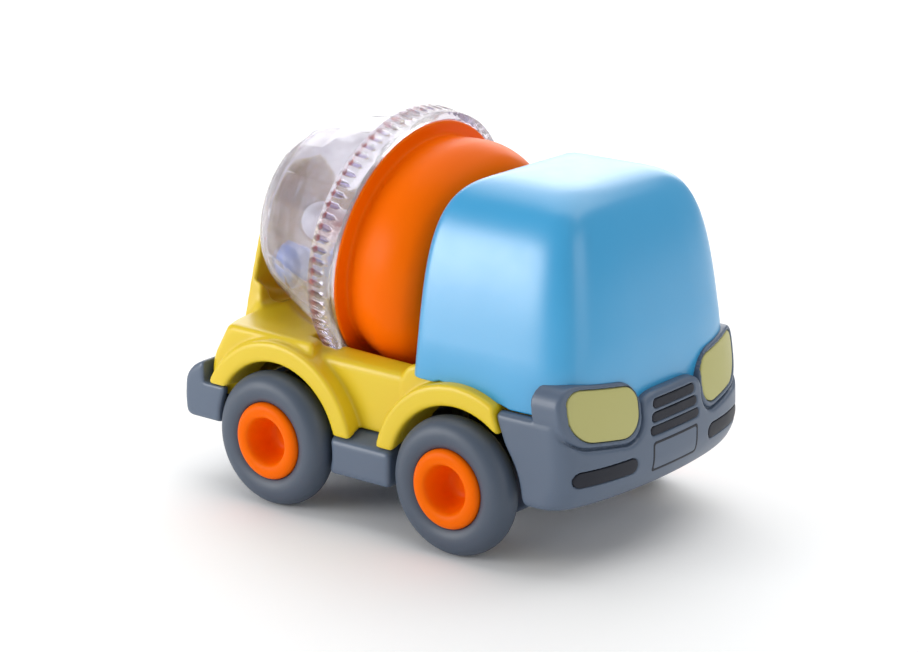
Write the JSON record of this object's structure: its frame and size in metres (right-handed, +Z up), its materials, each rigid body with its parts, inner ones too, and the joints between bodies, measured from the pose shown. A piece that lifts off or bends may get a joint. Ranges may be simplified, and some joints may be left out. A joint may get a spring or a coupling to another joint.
{
  "type": "toy cement mixer",
  "caption": "Chunky push-along toy cement mixer with a rounded blue cab and a tilted clear drum that turns as the rear wheels roll.",
  "frame": {"origin": "centre of the bounding box's bottom face: on the floor, midway along and across the truck", "axes": "+X to the front of the truck, +Y to its left side, +Z up"},
  "size_m": [0.1322, 0.086, 0.1013],
  "materials": {
    "blue_plastic": "satin light blue",
    "grey_plastic": "satin blue-grey",
    "dark_plastic": "satin dark grey",
    "yellow_plastic": "soft gloss yellow",
    "orange_plastic": "gloss orange",
    "grey_tyre": "smooth grey, no tread",
    "cream_plastic": "satin cream",
    "clear_plastic": "clear gloss",
    "white_plastic": "natural white, waxy",
    "ball_blue": "gloss blue",
    "ball_white": "gloss white",
    "steel": "plain steel"
  },
  "bodies": {
    "chassis": {"upper_body": "yellow_plastic", "base_plate": "grey_plastic", "cab_shell": "blue_plastic", "front_bumper": "grey_plastic", "grille_slat_upper": "dark_plastic", "grille_slat_middle": "dark_plastic", "grille_slat_lower": "dark_plastic", "fog_lamp_right": "dark_plastic", "fog_lamp_left": "dark_plastic", "number_plate_frame": "dark_plastic", "headlight_lens_right": "cream_plastic", "headlight_lens_left": "cream_plastic", "drive_plate_right": "white_plastic", "drive_plate_left": "white_plastic", "base_screw_1": "steel", "base_screw_2": "steel", "base_screw_3": "steel", "base_screw_4": "steel", "base_screw_5": "steel", "base_screw_6": "steel"},
    "front_wheels": {"front_axle": "steel", "tyre_front_right": "grey_tyre", "tyre_front_left": "grey_tyre", "hub_front_right": "orange_plastic", "hub_front_left": "orange_plastic"},
    "rear_wheels": {"rear_axle": "steel", "tyre_rear_right": "grey_tyre", "tyre_rear_left": "grey_tyre", "hub_rear_right": "orange_plastic", "hub_rear_left": "orange_plastic", "axle_gear": "white_plastic"},
    "cross_gear": {"cross_gear": "white_plastic", "cross_shaft": "steel"},
    "drive_shaft": {"drive_shaft": "steel", "ring_pinion": "white_plastic", "crown_pinion": "white_plastic"},
    "drum": {"drum_bowl": "clear_plastic", "drum_cone": "orange_plastic"},
    "step_gear": {"step_up_gear": "white_plastic", "step_shaft": "steel"},
    "flywheel": {"flywheel": "steel", "flywheel_pinion": "steel", "flywheel_shaft": "steel"},
    "ball_front": {"ball_front": "ball_blue"},
    "ball_middle": {"ball_middle": "ball_white"},
    "ball_rear": {"ball_rear": "ball_blue"}
  },
  "joints": [
    {"name": "front_wheels_roll", "type": "hinge", "parent": "chassis", "child": "front_wheels", "pos_m": [0.0263, 0, 0.0179], "axis": [0, 1, 0], "continuous": true},
    {"name": "rear_wheels_roll", "type": "hinge", "parent": "chassis", "child": "rear_wheels", "pos_m": [-0.0327, 0, 0.0179], "axis": [0, 1, 0], "continuous": true},
    {"name": "cross_gear_spin", "type": "hinge", "parent": "chassis", "child": "cross_gear", "pos_m": [-0.03836, 0, 0.02832], "axis": [0, 1, 0], "continuous": true},
    {"name": "drive_shaft_spin", "type": "hinge", "parent": "chassis", "child": "drive_shaft", "pos_m": [-0.02157, 0, 0.02566], "axis": [0.9877, 0, -0.1564], "continuous": true},
    {"name": "drum_spin", "type": "hinge", "parent": "chassis", "child": "drum", "pos_m": [-0.0154, 0, 0.0646], "axis": [0.9877, 0, -0.1564], "continuous": true},
    {"name": "step_gear_spin", "type": "hinge", "parent": "chassis", "child": "step_gear", "pos_m": [-0.02317, 0, 0.01992], "axis": [0, 1, 0], "continuous": true},
    {"name": "flywheel_spin", "type": "hinge", "parent": "chassis", "child": "flywheel", "pos_m": [-0.0154, 0, 0.01925], "axis": [0, 1, 0], "continuous": true},
    {"name": "ball_front_roll", "type": "hinge", "parent": "chassis", "child": "ball_front", "pos_m": [-0.0154, 0, 0.0646], "axis": [0.9877, 0, -0.1564], "continuous": true},
    {"name": "ball_middle_roll", "type": "hinge", "parent": "chassis", "child": "ball_middle", "pos_m": [-0.0154, 0, 0.0646], "axis": [0.9877, 0, -0.1564], "continuous": true},
    {"name": "ball_rear_roll", "type": "hinge", "parent": "chassis", "child": "ball_rear", "pos_m": [-0.0154, 0, 0.0646], "axis": [0.9877, 0, -0.1564], "continuous": true}
  ],
  "couplings": [
    {"joint": "cross_gear_spin", "follows": "rear_wheels_roll", "ratio": -1.1538},
    {"joint": "drive_shaft_spin", "follows": "rear_wheels_roll", "ratio": 1.7308},
    {"joint": "drum_spin", "follows": "rear_wheels_roll", "ratio": -0.20769},
    {"joint": "step_gear_spin", "follows": "rear_wheels_roll", "ratio": -1.875},
    {"joint": "flywheel_spin", "follows": "rear_wheels_roll", "ratio": 4.2188}
  ]
}
